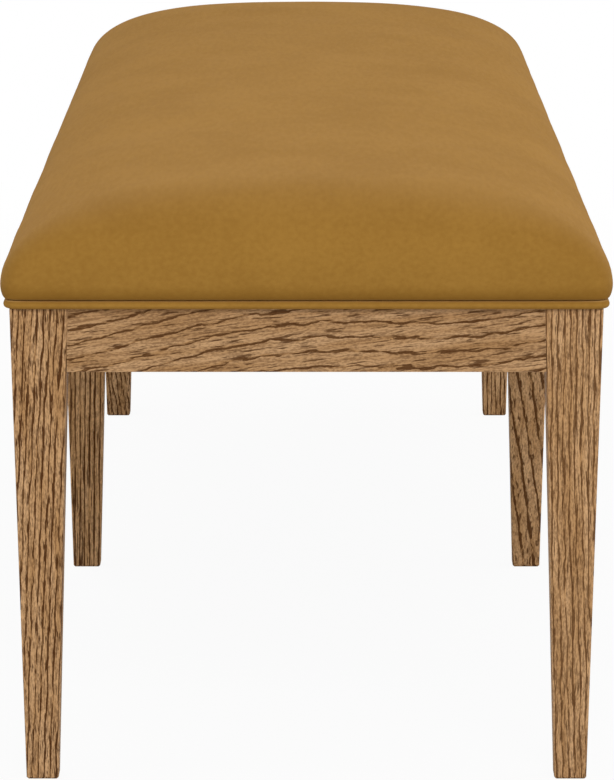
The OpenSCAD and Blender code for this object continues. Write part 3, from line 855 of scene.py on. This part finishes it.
nap_inputs = {"Vector": "Vector", "Seed": "Float"}
tree, given = open_group("nap", nap_inputs, {name: "Float" for name in NAP_CLOUDS})
close_group(tree, {
    name: cloud(tree, given["Vector"], lumps, given["Seed"], detail)
    for name, (lumps, detail) in NAP_CLOUDS.items()
})

# %% Velvet
VELVET_DEEP = linear(161, 119, 52)
VELVET_DARK = linear(148, 107, 44)
# Painted sheen: paler, pinker colours mixed in at a shallow viewing angle
VELVET_PAINTED_SHEEN = linear(172, 128, 64)
VELVET_PAINTED_SHEEN_DARK = linear(162, 119, 56)
# Painted shade, mixed in a little aslant and in the groove above the welt
VELVET_PAINTED_SHADE = linear(124, 84, 24)
# Painted light for the seam above the welt
VELVET_SEAM_LIGHT = linear(196, 154, 92)
# Painted light: the welt's velvet is made brighter, where the seat's bulge shades it
WELT_PAINTED_LIGHT = 1.1
STREAK_SHARE = 0.45
PATCH_SHARE = 0.55
BRUSHED_LIMITS = (0.31, 0.69)
PAINTED_SHEEN_SHARPNESS = 2.4
PAINTED_SHEEN_SHARE = 0.9
# Facing is 0 straight on and 1 at the rim: where the painted shade aslant sets in, and ends
PAINTED_SHADE_FROM = (0.04, 0.3)
PAINTED_SHADE_TO = (0.9, 0.78)
PAINTED_SHADE_SHARE = 0.14
GROOVE_SHADE_SHARE = 0.5
SEAM_LIGHT_REACH = (1.5 * MM, 0.2 * MM)
SEAM_LIGHT_SHARE = 0.85
PILE_HEIGHT = 0.25 * MM


def velvet_cloth(name, lift):
    """Gold velvet. The lift brightens all its colours; on the welt it is painted light."""
    constants = {
        "Roughness": 0.85, "Specular IOR Level": 0.06,
        "Sheen Weight": 0.02, "Sheen Roughness": 0.5, "Sheen Tint": (1.0, 0.8, 0.5, 1),
    }
    material, tree, shader, place_in_frame = new_material(name, constants)
    nap = place(tree, "nap", {"Vector": place_in_frame, "Seed": 2.0})
    streaked = calculate(tree, "MULTIPLY", nap["Streak"], STREAK_SHARE)
    brushed = calculate(tree, "MULTIPLY_ADD", nap["Patch"], PATCH_SHARE, streaked)
    brushed = ease(tree, brushed, *BRUSHED_LIMITS)
    shades = (VELVET_DEEP, VELVET_DARK, VELVET_PAINTED_SHEEN, VELVET_PAINTED_SHEEN_DARK)
    deep, dark, sheen_colour, dark_sheen_colour = (brighten(colour, lift) for colour in shades)
    ground = blend(tree, brushed, deep, dark)
    facing = add(tree, "LayerWeight", {"Blend": 0.5})["Facing"]
    # Painted sheen: towards the rim the colour turns to the sheen colours
    grazing = calculate(tree, "POWER", facing, PAINTED_SHEEN_SHARPNESS)
    grazing = calculate(tree, "MULTIPLY", grazing, PAINTED_SHEEN_SHARE)
    with_painted_light = blend(tree, grazing, ground, blend(tree, brushed, sheen_colour, dark_sheen_colour))
    # Seen a little aslant, the colour is painted darker, as painted shade
    turned = ease(tree, facing, *PAINTED_SHADE_FROM)
    aslant_painted_shade = calculate(tree, "MULTIPLY", turned, ease(tree, facing, *PAINTED_SHADE_TO))
    aslant_painted_shade = calculate(tree, "MULTIPLY", aslant_painted_shade, PAINTED_SHADE_SHARE)
    with_painted_light = blend(tree, aslant_painted_shade, with_painted_light, VELVET_PAINTED_SHADE)
    # Painted shade where the cloth is drawn into the groove above the welt
    height = up_part(tree, place_in_frame)
    below = ease(tree, height, bulge_z + 3 * MM, groove_z + 1 * MM)
    pressed = calculate(tree, "MULTIPLY", below, ease(tree, height, welt_middle, groove_z))
    pressed = calculate(tree, "MULTIPLY", pressed, GROOVE_SHADE_SHARE)
    coloured = blend(tree, pressed, with_painted_light, VELVET_PAINTED_SHADE)
    # Right in the seam the colour is painted lighter, as painted light in the crease
    from_seam = calculate(tree, "ABSOLUTE", calculate(tree, "SUBTRACT", height, welt_high.z))
    painted_seam_light = ease(tree, from_seam, *SEAM_LIGHT_REACH)
    painted_seam_light = calculate(tree, "MULTIPLY", painted_seam_light, SEAM_LIGHT_SHARE)
    paint(tree, shader, painted_seam_light, coloured, VELVET_SEAM_LIGHT)
    bump(tree, shader, nap["Pile"], PILE_HEIGHT)
    return material


velvet = velvet_cloth("velvet", 1.0)
lit_welt_velvet = velvet_cloth("lit_welt_velvet", WELT_PAINTED_LIGHT)
print("velvets:", velvet.name, "and", lit_welt_velvet.name)

# %% [markdown]
# ## The seat cover
#
# The cover is one piece of velvet, pulled down over the batting, tucked inside the welt and
# stapled under the deck. A modelled dome is too perfect for stuffed cloth. So the dome starts
# a little low, is held at the welt as the staples hold it, and Blender's cloth solver blows
# it out from inside, as the foam presses it. Weak springs to the starting shape stand for the
# foam's support: without them, air pressure alone would pull the sides in to a round roll.
# Each point may only move a few millimetres, so the seat keeps its size.

# %% The seat cover's mesh
COVER_CELLS = (236, 64)
HEM_ROUND = 0.6 * MM

wall_corner = WELT_CORNER + wall_out
walls = [tuck_ring(share) for share in (0.2, 0.4, 0.6, 0.8, 1.0)]
walls += [
    edge_ring(wall_out, wall_corner, groove_z - COVER_THICK / 2),
    edge_ring(wall_out, wall_corner, cover_low.z + HEM_ROUND),
    edge_ring(wall_out - HEM_ROUND, wall_corner - HEM_ROUND, cover_low.z),
    edge_ring(-HEM_REACH / 2, wall_corner, cover_low.z),
    edge_ring(-HEM_REACH, wall_corner, cover_low.z),
]
levels = crown_levels(bulge_out, cover_high.z - bulge_z, COVER_CELLS[1] // 2)
cover = seat_mesh("velvet_cover", levels, walls, None, COVER_CELLS)

# %% The cover is blown out by the foam
START_LOW = 0.8 * MM
PRESSURE = 0.3
FOAM_SUPPORT = 0.13
MOST_MOVED = 4 * MM
LAST_FRAME = 20


def share_up(point):
    """0 at the seat's widest line and 1 at its top."""
    return max(0.0, min(1.0, (point.z - bulge_z) / (cover_high.z - bulge_z)))


def blow_out(piece):
    """Runs the cloth solver on a piece held at its edge, and keeps the shape it ends in."""
    mesh = piece.data
    held = piece.vertex_groups.new(name="held")
    for v in mesh.vertices:
        v.co.z -= START_LOW * share_up(v.co)
        tucked = min(1.0, 2 * (bulge_z - v.co.z) / (bulge_z - groove_z))
        held.add([v.index], max(FOAM_SUPPORT, tucked), "REPLACE")
    began = [v.co.copy() for v in mesh.vertices]
    cloth = piece.modifiers.new("cloth", "CLOTH")
    cloth.settings.vertex_group_mass = "held"
    cloth.settings.use_pressure = True
    cloth.settings.uniform_pressure_force = PRESSURE
    cloth.settings.effector_weights.gravity = 0
    cloth.collision_settings.use_collision = False
    cloth.point_cache.frame_end = LAST_FRAME
    for frame_number in range(1, LAST_FRAME + 1):
        scene.frame_set(frame_number)
    blown = piece.evaluated_get(bpy.context.evaluated_depsgraph_get()).data
    moves = [after.co - before for after, before in zip(blown.vertices, began)]
    piece.modifiers.remove(cloth)
    scene.frame_set(1)
    for v, before, move in zip(mesh.vertices, began, moves):
        v.co = before + move * min(1.0, MOST_MOVED / max(move.length, 1e-9))
    mesh.update()
    print(f"moved by up to {max(move.length for move in moves) / MM:.2f} mm")


blow_out(cover)
print(f"cover's top: {max(v.co.z for v in cover.data.vertices):.4f} m")

# %% The foam is never quite even
LONG_WAVE = 130 * MM
SHORT_WAVE = 45 * MM
LONG_LUMP = 1.1 * MM
SHORT_LUMP = 0.25 * MM

highest = 0.0
for v in cover.data.vertices:
    lump = LONG_LUMP * noise.noise(v.co / LONG_WAVE) + SHORT_LUMP * noise.noise(v.co / SHORT_WAVE)
    v.co += v.normal * lump * min(1.0, 4 * share_up(v.co))
    highest = max(highest, lump)
cover.data.update()
print(f"lumps up to {highest / MM:.2f} mm")

# %% The cover's cloth
cover.data.materials.append(velvet)
smoother = cover.modifiers.new("smoother", "SUBSURF")
smoother.levels = smoother.render_levels = 1
thickness = cover.modifiers.new("thickness", "SOLIDIFY")
thickness.thickness = COVER_THICK
thickness.offset = -1
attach(cover, "root")
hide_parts("seat_cover")
print(f"cloth {COVER_THICK / MM:.0f} mm thick")

# %% [markdown]
# ## Foam and batting
#
# The cushion's core is a block of cut foam, glued to the deck. Batting, a thin blanket of
# polyester fibre, is wrapped over it and down its sides, so the cover slides and lies round.
# Both are the cover's shape again, further in, so the same rings and the same grid make them.

# %% Foam
BASE_EASE = 0.5 * MM
FILLING_CELLS = (118, 32)
FILLING_LEVELS = FILLING_CELLS[1] // 2
FOAM_PALE = linear(236, 228, 200)
FOAM_YELLOW = linear(226, 212, 176)
FOAM_CELL = linear(202, 188, 150)
FOAM_TINTS = (12, 12, 12)
FOAM_BUBBLES = 900.0
BUBBLE_LIMITS = (0.2, 0.9)
BUBBLE_DEPTH = 0.4 * MM


def flat_levels(outline, count):
    """Rings that shrink an outline onto its own spine, all at one height."""
    shares = [1 - k / count for k in range(count + 1)]
    return [{**outline, "reach": outline["reach"] * share} for share in shares]


def filling(name, top, walls, base, material):
    """A closed soft piece between the cover and the deck."""
    made = seat_mesh(name.replace("_core", "") + "_fill", top, walls, base, FILLING_CELLS)
    made.data.materials.append(material)
    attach(made, "root")
    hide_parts(name)
    return made


foam, tree, shader, place_in_frame = new_material("foam", {"Roughness": 0.9})
bubbles = add(tree, "TexVoronoi", {"Vector": place_in_frame, "Scale": FOAM_BUBBLES})["Distance"]
tint = blend(tree, cloud(tree, place_in_frame, FOAM_TINTS, 4.0, 3), FOAM_PALE, FOAM_YELLOW)
paint(tree, shader, ease(tree, bubbles, *BUBBLE_LIMITS), tint, FOAM_CELL)
bump(tree, shader, bubbles, BUBBLE_DEPTH)

foam_out = foam_high.x - half_length
foam_top = crown_levels(foam_out, foam_high.z - bulge_z, FILLING_LEVELS)
foam_base = edge_ring(foam_out - BASE_EASE, BULGE_CORNER, foam_low.z)
foam_floor = flat_levels(foam_base, FILLING_LEVELS)
foam_piece = filling("foam_core", foam_top, [foam_base], foam_floor, foam)

# %% Batting
ROOM_FOR_COVER = 1.2 * MM
BATTING_SHADED = linear(214, 214, 208)
BATTING_WHITE = linear(244, 244, 240)
FIBRES_ACROSS = (500, 60, 300)
FIBRES_ALONG = (70, 520, 300)
FLUFF_DEPTH = 0.8 * MM

constants = {"Roughness": 0.95, "Sheen Weight": 0.15}
wadding, tree, shader, place_in_frame = new_material("batting", constants)
fibres = cloud(tree, place_in_frame, FIBRES_ACROSS, 6.0, 4)
crossed = cloud(tree, place_in_frame, FIBRES_ALONG, 7.0, 4)
fluff = calculate(tree, "MAXIMUM", fibres, crossed)
paint(tree, shader, fluff, BATTING_SHADED, BATTING_WHITE)
bump(tree, shader, fluff, FLUFF_DEPTH)

# The blanket turns in under the cover's widest line and ends against the deck's edge
batting_out = batting_high.x - half_length - ROOM_FOR_COVER
batting_rise = batting_high.z - bulge_z - ROOM_FOR_COVER
batting_top = crown_levels(batting_out, batting_rise, FILLING_LEVELS)
inner_out = foam_out + SOFT_GAP
inside = crown_levels(inner_out, foam_high.z - bulge_z + SOFT_GAP, FILLING_LEVELS)
against_deck = deck_out + SOFT_GAP
deck_corner = WELT_CORNER + against_deck
walls = [tuck_ring(share, bulge_out - batting_out) for share in (0.25, 0.5, 0.66)]
walls += [
    edge_ring(against_deck, deck_corner, batting_low.z),
    edge_ring(against_deck, deck_corner, deck_high.z),
    edge_ring(inner_out - BASE_EASE, BULGE_CORNER, deck_high.z),
    inside[0],
]
batting_piece = filling("batting", batting_top, walls, inside, wadding)

# %% [markdown]
# ## Welt and its cord
#
# The welt is a strip of the same velvet, folded round a twisted cotton cord and sewn close
# beside it. Its two raw layers lie flat as a flange, and are stapled between the frame and
# the cover. It runs round the seat once, so it is one cross-section carried along a line.
# A real one is never quite even: it swells and shifts a little, and where its ends meet, at
# the rear, there is a slanting seam.

# %% A line round the frame
ARC_STEPS = 9
OUTWARD = [Vector(way) for way in ((1, 0, 0), (0, 1, 0), (-1, 0, 0), (0, -1, 0))]
LEAST_TURN = 0.3 * MM


def frame_line(out, corner):
    """Half lengths of the straight runs, and length of one corner, of a line round the frame."""
    return (half_width + out - corner, half_length + out - corner), corner * math.pi / 2


def along_frame(distance, out, corner):
    """Place and outward direction at a distance along that line, from the right front corner."""
    halves, arc = frame_line(out, corner)
    for quarter, outward in enumerate(OUTWARD):
        ahead = Vector((-outward.y, outward.x, 0))
        run = halves[quarter % 2]
        depth = halves[1 - quarter % 2]
        if distance <= 2 * run:
            return outward * (depth + corner) + ahead * (distance - run), outward
        distance -= 2 * run
        if distance <= arc or quarter == 3:
            turned = outward * math.cos(distance / corner) + ahead * math.sin(distance / corner)
            return outward * depth + ahead * run + turned * corner, turned
        distance -= arc


def stations(out, corner, spacing):
    """Distances along that line, spacing apart on the straight runs and closer on corners."""
    halves, arc = frame_line(out, corner)
    found = []
    start = 0.0
    for run in (2 * halves[0], 2 * halves[1]) * 2:
        found += list(np.linspace(start, start + run, math.ceil(run / spacing), endpoint=False))
        start += run
        found += list(np.linspace(start, start + arc, ARC_STEPS, endpoint=False))
        start += arc
    return found


def carry(sections, distances, out, corner, height):
    """Points and faces of closed sections carried round the frame. A section gives its points,
    outward and up, at a distance along the line."""
    points = []
    faces = []
    for section in sections:
        start = len(points)
        count = len(section(0.0))
        for distance in distances:
            middle, outward = along_frame(distance, out, corner)
            for across, up in section(distance):
                across = max(across, LEAST_TURN - corner) if outward.x and outward.y else across
                points.append(middle + outward * across + Vector((0, 0, height + up)))
        rows = len(distances)
        for row in range(rows):
            here = start + row * count
            there = start + (row + 1) % rows * count
            for k in range(count):
                m = (k + 1) % count
                faces.append((here + k, there + k, there + m, here + m))
    return points, faces


corner = WELT_CORNER + welt_out
halves, arc = frame_line(welt_out, corner)
print(f"once round the seat: {4 * (sum(halves) + arc):.3f} m")

# %% The welt
WELT_SKIN = 0.9 * MM
WELT_STEP = 4 * MM
FLANGE_LOW = -2.8 * MM
FLANGE_THICK = 0.6 * MM
FLANGE_REACH = 12 * MM
ROUND_STEPS = 26
LONG_SWELL = 0.1 * MM
LONG_SWELL_WAVE = 30 * MM
SHORT_SWELL = 0.06 * MM
SHORT_SWELL_WAVE = 9 * MM
JOIN_SHARE = 0.8
JOIN_SLANT = 1.6 * MM
JOIN_DEPTH = 0.35 * MM
JOIN_SHARPNESS = 2.5
JOIN_REACH = 4 * MM
JOIN_STEP = 0.4 * MM

join_at = 2 * halves[0] + arc + JOIN_SHARE * halves[1]


def uneven(distance, wave, seed):
    """Smooth unevenness from -1 to 1 along the welt, with lumps wave metres apart."""
    return noise.noise(Vector((distance / wave, seed, 0)))


def welt_face(distance):
    """Outside of the welt: round the cord from the flange's underside to its top."""
    low = math.asin(FLANGE_LOW / welt_radius)
    high = math.asin((FLANGE_LOW + FLANGE_THICK) / welt_radius)
    slow = LONG_SWELL * uneven(distance, LONG_SWELL_WAVE, 1)
    swell = slow + SHORT_SWELL * uneven(distance, SHORT_SWELL_WAVE, 2)
    points = [(-FLANGE_REACH - welt_out, FLANGE_LOW)]
    for k in range(ROUND_STEPS + 1):
        angle = -math.pi - low + (2 * math.pi + low - high) * k / ROUND_STEPS
        off_join = (distance - join_at) / JOIN_SLANT - math.sin(angle)
        crease = JOIN_DEPTH * math.exp(-((off_join * JOIN_SHARPNESS) ** 2))
        size = welt_radius - LONG_SWELL + swell * (1 + math.cos(angle)) / 2 - crease
        points.append((size * math.cos(angle), size * math.sin(angle)))
    points[1] = (points[1][0], FLANGE_LOW)
    points[-1] = (points[-1][0], FLANGE_LOW + FLANGE_THICK)
    return points + [(-FLANGE_REACH - welt_out, FLANGE_LOW + FLANGE_THICK)]


def welt_hollow(distance):
    """Inside of the welt, where the cord lies, the same all the way."""
    size = welt_radius - WELT_SKIN
    angles = [-2 * math.pi * k / ROUND_STEPS for k in range(ROUND_STEPS)]
    return [(size * math.cos(angle), size * math.sin(angle)) for angle in angles]


# Sections stand close together at the join, and no other one stands among them
near_join = np.arange(join_at - JOIN_REACH, join_at + JOIN_REACH, JOIN_STEP)
clear = JOIN_REACH + JOIN_STEP / 2
elsewhere = [d for d in stations(welt_out, corner, WELT_STEP) if abs(d - join_at) > clear]
distances = sorted([*elsewhere, *near_join])
points, faces = carry([welt_face, welt_hollow], distances, welt_out, corner, welt_middle)
welt = new_mesh("velvet_welt", points, faces)
# The welt takes the brighter copy of the velvet, as painted light
welt.data.materials.append(lit_welt_velvet)
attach(welt, "root")
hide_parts("welt_cover")

# %% The twisted cord inside it
CORD_LAY = 18 * MM
CORD_STRANDS = 3
CORD_STEP = 2.2 * MM
CORD_POINTS = 12
STRAND_DEPTH = 0.07
COTTON_SHADED = linear(214, 206, 186)
COTTON_PALE = linear(240, 235, 220)
YARNS = (700, 700, 700)
YARN_DEPTH = 0.2 * MM
cord_radius = (cord_high.z - cord_low.z) / 2


def cord_face(distance):
    """Three strands, which turn once in every lay of the cord."""
    turned = 2 * math.pi * distance / CORD_LAY
    points = []
    for k in range(CORD_POINTS):
        angle = 2 * math.pi * k / CORD_POINTS
        strand = STRAND_DEPTH * math.cos(CORD_STRANDS * (angle - turned))
        size = cord_radius * (1 - STRAND_DEPTH + strand)
        points.append((size * math.cos(angle), size * math.sin(angle)))
    return points


cotton, tree, shader, place_in_frame = new_material("cotton", {"Roughness": 0.9})
yarn = cloud(tree, place_in_frame, YARNS, 8.0, 3)
paint(tree, shader, yarn, COTTON_SHADED, COTTON_PALE)
bump(tree, shader, yarn, YARN_DEPTH)
distances = stations(welt_out, corner, CORD_STEP)
points, faces = carry([cord_face], distances, welt_out, corner, welt_middle)
cord = new_mesh("cotton_cord", points, faces)
cord.data.materials.append(cotton)
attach(cord, "root")
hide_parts("welt_cord")

# %% [markdown]
# ## Dust cover
#
# Under the seat a thin black cloth hides the deck and keeps dust in. Its edges are turned in
# and stapled. It is stretched by hand, so it sags a little between the rails and shows faint
# folds. It is a plain grid here, with its height given by a formula.

# %% The dust cover's shape
DUST_CELLS = (112, 28)
DUST_TURNED = 10 * MM
DUST_FOLD = 0.2 * MM
DUST_THIN = 0.12 * MM
DUST_SAG = 2.5 * MM
SAG_CLEAR = 6 * MM
SAG_CLEAR_OF_END = 60 * MM
FOLD_SHARE = 0.22
FOLDS_ALONG = 9
FOLDS_ACROSS = 26
rail_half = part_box("cross_rail")[1].x
apron_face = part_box("side_apron_rear_left")[0].y


def sag(x, y):
    """How far the cloth hangs below its stapled edge."""
    from_x = rail_half + SAG_CLEAR
    to_x = dust_high.x - SAG_CLEAR_OF_END
    to_y = apron_face - SAG_CLEAR
    if not from_x < abs(x) < to_x or abs(y) > to_y:
        return 0.0
    along = (2 * abs(x) - from_x - to_x) / (to_x - from_x)
    belly = (1 - along ** 4) * (1 - (y / to_y) ** 2)
    wrinkle = noise.noise(Vector((x * FOLDS_ALONG, y * FOLDS_ACROSS, 3)))
    folds = FOLD_SHARE * wrinkle * (1 - abs(y) / to_y)
    return DUST_SAG * max(0.0, belly + folds * belly ** 0.5)


def dust_spot(i, j, inset=0.0, up=0.0):
    """Place of one grid point, moved in from the rim and up."""
    x = dust_high.x * (2 * i / DUST_CELLS[0] - 1)
    y = dust_high.y * (2 * j / DUST_CELLS[1] - 1)
    x = max(inset - dust_high.x, min(dust_high.x - inset, x))
    y = max(inset - dust_high.y, min(dust_high.y - inset, y))
    return x, y, dust_low.z + up - sag(x, y)


points = [dust_spot(i, j) for i in range(DUST_CELLS[0] + 1) for j in range(DUST_CELLS[1] + 1)]
faces = grid_faces(DUST_CELLS)
border = rim(DUST_CELLS)
hem = [[dust_spot(i, j, inset, DUST_FOLD) for i, j in border] for inset in (0.0, DUST_TURNED)]
hang(points, faces, DUST_CELLS, hem)
dust_cover = new_mesh("cambric_dust_cover", points, faces)

# %% The dust cover's cloth
CAMBRIC_DARK = linear(20, 20, 22)
CAMBRIC_PALE = linear(48, 48, 50)
CAMBRIC_DOTS = 700.0
CAMBRIC_FIBRES = (90, 900, 90)
CAMBRIC_DEPTH = 0.1 * MM

cambric, tree, shader, place_in_frame = new_material("cambric", {"Specular IOR Level": 0.3})
pressed = add(tree, "TexVoronoi", {"Vector": place_in_frame, "Scale": CAMBRIC_DOTS})["Distance"]
pressed = calculate(tree, "MULTIPLY", pressed, 0.5)
fibres = cloud(tree, place_in_frame, CAMBRIC_FIBRES, 9.0, 3)
web = calculate(tree, "MULTIPLY_ADD", fibres, 0.5, pressed)
paint(tree, shader, web, CAMBRIC_DARK, CAMBRIC_PALE)
feed(tree, shader, {"Roughness": calculate(tree, "MULTIPLY_ADD", web, 0.3, 0.55)})
bump(tree, shader, web, CAMBRIC_DEPTH)
dust_cover.data.materials.append(cambric)
thin = dust_cover.modifiers.new("thickness", "SOLIDIFY")
thin.thickness = DUST_THIN
thin.offset = 0
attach(dust_cover, "root")
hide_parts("dust_cover")
